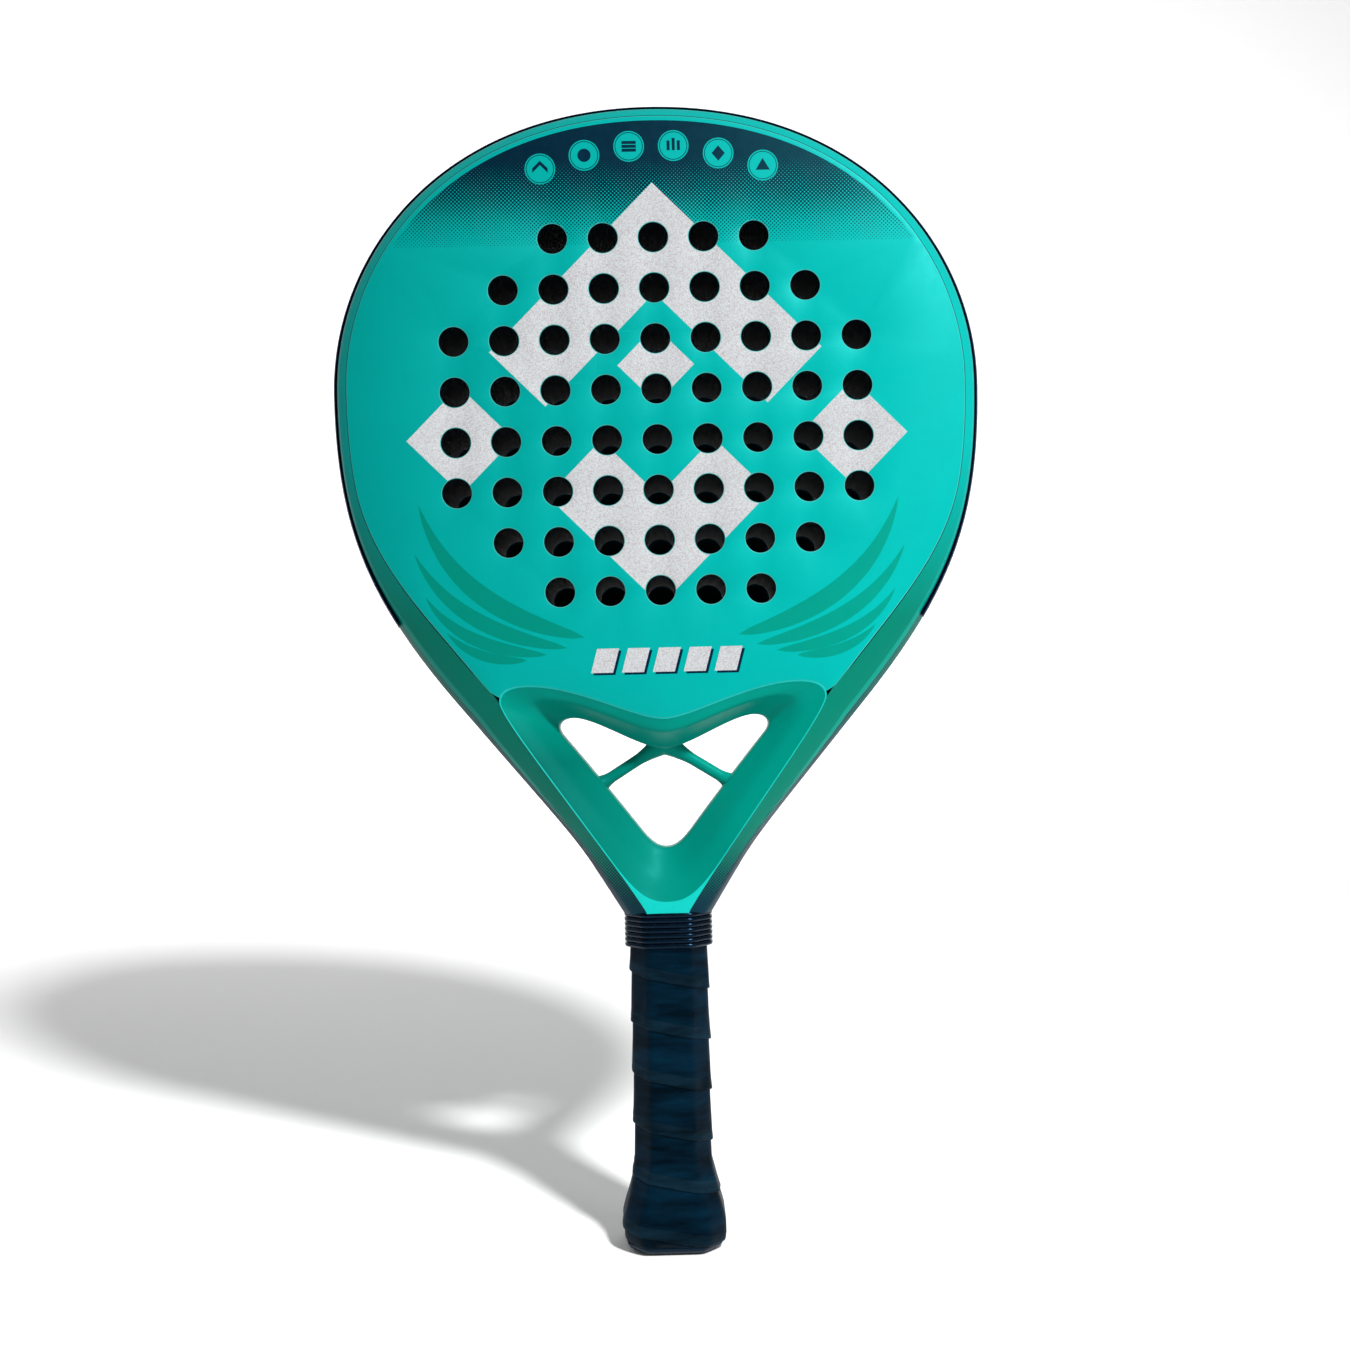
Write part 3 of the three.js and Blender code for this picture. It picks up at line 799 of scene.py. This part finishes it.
def build_brace(side):
    start, end = np.array([side * 0.3, 0, 202.9]), np.array([side * 27.5, 0, 185.9])
    length = np.linalg.norm(end - start)
    along = (end - start) / length
    across = np.cross(along, (0, 1, 0))
    rings = []
    for t in np.linspace(0, 1, 40):
        root = max(0, 1 - t * length / BRACE_ROOT)
        foot = max(0, 1 - (1 - t) * length / BRACE_FOOT)
        radius = BRACE_RADIUS + 2.6 * root**1.5 + 2.4 * foot**2
        turns = np.linspace(0, 2 * math.pi, 32, endpoint=False)
        centre = start + (end - start) * t
        rings.append([
            tuple(centre + radius * (math.cos(a) * across + math.sin(a) * np.array([0, 1, 0]))) for a in turns
        ])
    name = "cross_brace_left" if side < 0 else "cross_brace_right"
    return make_object(name, skin(rings), ("throat",), 40)


# ---- handle ----
# The grip's octagon: half its width, half its depth, and what its corners take off.
GRIP = (15.9, 14.2, 7.2)
FLARE_Z = [2.0, 3.2, 5, 8, 12, 16, 20, 24, 27.6, 31, 34, 140]
FLARE_X = [19.2, 20.0, 20.6, 20.9, 20.9, 20.1, 18.9, 18.0, 17.3, 16.5, 15.9, 15.9]
FLARE_Y = [16.6, 17.3, 17.8, 18.0, 18.0, 17.5, 16.6, 15.8, 15.2, 14.6, 14.2, 14.2]
AROUND = 120
ROUNDNESS = 34


def soft_octagon(hx, hy, corner, angle):
    """The distance to a rounded octagon's edge in one direction."""
    diagonal = (hx + hy - corner) / math.sqrt(2)
    total = 0
    for k in range(8):
        reach = diagonal if k % 2 else (hx if k % 4 == 0 else hy)
        total += max(0, math.cos(angle - k * math.pi / 4) / reach) ** ROUNDNESS
    return total ** (-1 / ROUNDNESS)


def octagon_ring(hx, hy, corner, z, grow=0.0):
    turns = np.linspace(0, 2 * math.pi, AROUND, endpoint=False)
    radii = [soft_octagon(hx, hy, corner, a) + grow for a in turns]
    return [(r * math.cos(a), r * math.sin(a), z) for r, a in zip(radii, turns)]


LAP_PITCH = 20.4
# Across one turn of the wrap: [share of the pitch, height above the layer below].
LAP = [(0.0, 0.05), (0.004, 0.6), (0.012, 0.78), (0.03, 0.82), (0.1, 0.7), (0.22, 0.52), (0.45, 0.34),
       (0.65, 0.2), (0.82, 0.1), (0.95, 0.02)]
# The bands between the points of LAP that get a painted highlight: the lap's edge and the strip beside it.
HIGHLIT_BANDS = (1, 2, 3, 4)
WRAP_LOW, WRAP_HIGH, WRAP_TURNS = 3.3, 134.4, 8
LAP_START = 0.62
# The wrap's lower layer is this far inside the grip's outline.
WRAP_INSET = 0.55


def build_overgrip():
    bm = bmesh.new()
    rows = []
    for turn in range(-1, WRAP_TURNS):
        for share, height in LAP:
            row = []
            for k in range(AROUND + 1):
                angle = math.pi / 2 + 2 * math.pi * k / AROUND
                wound = turn - k / AROUND
                z = WRAP_LOW + LAP_PITCH * (wound + share + LAP_START)
                hx = np.interp(z, FLARE_Z, FLARE_X) - WRAP_INSET
                hy = np.interp(z, FLARE_Z, FLARE_Y) - WRAP_INSET
                crease = 0.12 * math.sin(31 * wound) * math.sin(67 * wound + 7 * share)
                r = soft_octagon(hx, hy, GRIP[2], angle) + height * (1 + crease) + 0.4 * crease * (1 - share)
                row.append(bm.verts.new((r * math.cos(angle), r * math.sin(angle), z)))
            rows.append(row)
    for i, (below, above) in enumerate(zip(rows, rows[1:])):
        for k in range(AROUND):
            face = bm.faces.new((below[k], below[k + 1], above[k + 1], above[k]))
            # The lap edges take the lighter film, a painted highlight.
            face.material_index = 1 if i % len(LAP) in HIGHLIT_BANDS else 0
    bmesh.ops.remove_doubles(bm, verts=bm.verts, dist=1e-4)
    for height, up in ((WRAP_LOW, -1), (WRAP_HIGH, 1)):
        everything = bm.verts[:] + bm.edges[:] + bm.faces[:]
        bmesh.ops.bisect_plane(
            bm, geom=everything, plane_co=(0, 0, height), plane_no=(0, 0, up), clear_outer=True)
    obj = make_object("overgrip_wrap", bm, ("grip", "grip_lap_highlight"), 40)
    shell = obj.modifiers.new("thickness", "SOLIDIFY")
    shell.thickness = 0.5 * MM
    shell.offset = -1
    return obj


def build_collar():
    bottom, top, ribs = 121.6, 135.8, 7
    pitch = (top - bottom) / ribs
    rings = [octagon_ring(*GRIP, bottom, 0.8)]
    for i in range(ribs * 10 + 1):
        z = bottom + i * pitch / 10
        rib = abs(math.sin(math.pi * i / 10)) ** 0.7
        end = min(i, ribs * 10 - i)
        rings.append(octagon_ring(*GRIP, z, 1.25 + 0.65 * rib - (0.25 if end == 0 else 0)))
    rings.append(octagon_ring(*GRIP, top, 0.8))
    return make_object("ribbed_collar", skin(rings, joined=True), ("collar",), 50)


# The cap's outline as (z, half the width, half the depth): the rounded rim, then the plug inside.
CAP_LEVELS = [
    (0, 16.2, 13.6), (0.15, 16.9, 14.3), (0.5, 17.7, 15.0), (1.0, 18.4, 15.7), (1.8, 19.0, 16.3),
    (2.8, 19.3, 16.6), (3.1, 19.3, 16.6), (3.3, 18.6, 15.9), (12, 19.4, 16.5), (29, 14.8, 13.1),
]
CORD_HOLES_X = (-6, 6)
# The bore as (radius, z), with a chamfered mouth.
CORD_BORE = [(3.1, -0.4), (2.5, 0.5), (2.5, 8)]


def build_cap():
    rings = [octagon_ring(hx, hy, 7, z) for z, hx, hy in CAP_LEVELS]
    cap = make_object("end_cap", skin(rings), ("cap",), 40)
    for x in CORD_HOLES_X:
        bores = [[(px, py, z) for px, py in circle((x, 0), r, 32)] for r, z in CORD_BORE]
        drill = make_object("drill", skin(bores), ("cap",))
        cut = cap.modifiers.new("cord_hole", "BOOLEAN")
        cut.object = drill
        bpy.context.view_layer.objects.active = cap
        bpy.ops.object.modifier_apply(modifier=cut.name)
        bpy.data.objects.remove(drill)
    return cap


# ---- stage and light ----
def flat_object(name, corners, material):
    mesh = bpy.data.meshes.new(name)
    mesh.from_pydata([Vector(c) for c in corners], [], [range(len(corners))])
    mesh.materials.append(material)
    obj = bpy.data.objects.new(name, mesh)
    bpy.context.collection.objects.link(obj)
    return obj


# The stage in metres: its half width, its near and far ends, and the floor just under the butt.
SIDE, NEAR, FAR, FLOOR_Z = 9, -4, 1.5, -0.0003
CARD_INSET, CARD_Y = 16.0, 0.0193


def add_stage():
    floor = Finish("floor", (0.95, 0.95, 0.95, 1), 0.9)
    floor.vary(floor.noise(3, 2), (0.94, 0.94, 0.94, 1), (0.96, 0.96, 0.96, 1))
    corners = [(-SIDE, NEAR, FLOOR_Z), (SIDE, NEAR, FLOOR_Z), (SIDE, FAR, FLOOR_Z), (-SIDE, FAR, FLOOR_Z)]
    flat_object("floor", corners, floor.material)
    glow = bpy.data.materials.new("backdrop")
    glow.use_nodes = True
    shader = glow.node_tree.nodes["Principled BSDF"]
    shader.inputs["Base Color"].default_value = (1, 1, 1, 1)
    shader.inputs["Emission Color"].default_value = (1, 1, 1, 1)
    shader.inputs["Emission Strength"].default_value = 0.12
    corners = [(-SIDE, FAR, -0.01), (SIDE, FAR, -0.01), (SIDE, FAR, 6), (-SIDE, FAR, 6)]
    flat_object("backdrop", corners, glow)


def add_shade_card():
    """A dark card behind the holes, painted shade for what is seen through them, seen only from the front and
    only by the camera.
    """
    finish = Finish("painted_shade_card", srgb(0, 30, 46), 0.9)
    links, nodes = finish.links, finish.nodes
    clear = nodes.new("ShaderNodeBsdfTransparent")
    choose = nodes.new("ShaderNodeMixShader")
    facing = nodes.new("ShaderNodeNewGeometry")
    links.new(facing.outputs["Backfacing"], choose.inputs[0])
    links.new(finish.shader.outputs[0], choose.inputs[1])
    links.new(clear.outputs[0], choose.inputs[2])
    links.new(choose.outputs[0], nodes["Material Output"].inputs["Surface"])
    outline = head_outline(lambda z: CARD_INSET)
    card = flat_object("painted_shade_card", [(x * MM, CARD_Y, z * MM) for x, z in outline], finish.material)
    if card.data.polygons[0].normal.y > 0:
        card.data.flip_normals()
    for ray in ("diffuse", "glossy", "transmission", "volume_scatter", "shadow"):
        setattr(card, "visible_" + ray, False)


def aim(obj, at, target):
    obj.location = at
    obj.rotation_euler = (Vector(target) - Vector(at)).to_track_quat("-Z", "Y").to_euler()


def add_light(name, kind, at, target, energy, **settings):
    data = bpy.data.lights.new(name, kind)
    data.energy = energy
    for key, value in settings.items():
        setattr(data, key, value)
    obj = bpy.data.objects.new(name, data)
    bpy.context.collection.objects.link(obj)
    aim(obj, at, target)
    return obj


def add_lights():
    key = add_light("key", "AREA", (0.4, -0.65, 0.85), (0, 0, 0.22), 12.6, shape="DISK", size=0.12)
    key.data.use_nodes = True
    tree = key.data.node_tree
    falloff = tree.nodes.new("ShaderNodeLightFalloff")
    falloff.inputs["Strength"].default_value = 1
    tree.links.new(falloff.outputs["Constant"], tree.nodes["Emission"].inputs["Strength"])
    add_light("fill", "AREA", (0.85, -0.55, 0.62), (0.02, 0, 0.33), 1.2, shape="SQUARE", size=0.5)
    world = bpy.data.worlds.new("studio")
    world.use_nodes = True
    world.node_tree.nodes["Background"].inputs["Color"].default_value = (1, 1, 1, 1)
    world.node_tree.nodes["Background"].inputs["Strength"].default_value = 0.2
    bpy.context.scene.world = world
    bpy.context.scene.view_settings.view_transform = "Standard"
    bpy.context.scene.view_settings.look = "None"


# ---- assembly ----
MATERIALS = make_materials()


def place(obj, slot, *nodes):
    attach(obj, "root")
    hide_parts(*nodes)
    return obj


add_camera()
add_stage()
add_lights()
place(build_hoop(), "frame_lacquer", "frame_hoop")
place(build_protector(), "protector", "rim_protector")
place(build_face("front_panel", -1), "face_laminate", "front_face")
place(build_face("back_panel", 1), "face_laminate", "back_face")
place(build_core(), "core_foam", "core_foam")
place(build_throat(), "frame_lacquer", "throat_yoke")
place(build_brace(-1), "frame_lacquer", "brace_left")
place(build_brace(1), "frame_lacquer", "brace_right")
place(build_overgrip(), "grip_pu", "overgrip")
place(build_collar(), "collar_rubber", "grip_collar")
place(build_cap(), "cap_plastic", "butt_cap")
HIDDEN = {"handle_spine": "plastic", "handle_pallet_front": "plastic", "handle_pallet_back": "plastic",
          "base_grip": "base", "finishing_tape": "tape"}
for node_name, key in HIDDEN.items():
    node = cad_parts[node_name]
    for index in range(len(node.data.materials)):
        node.material_slots[index].material = MATERIALS[key]
add_shade_card()
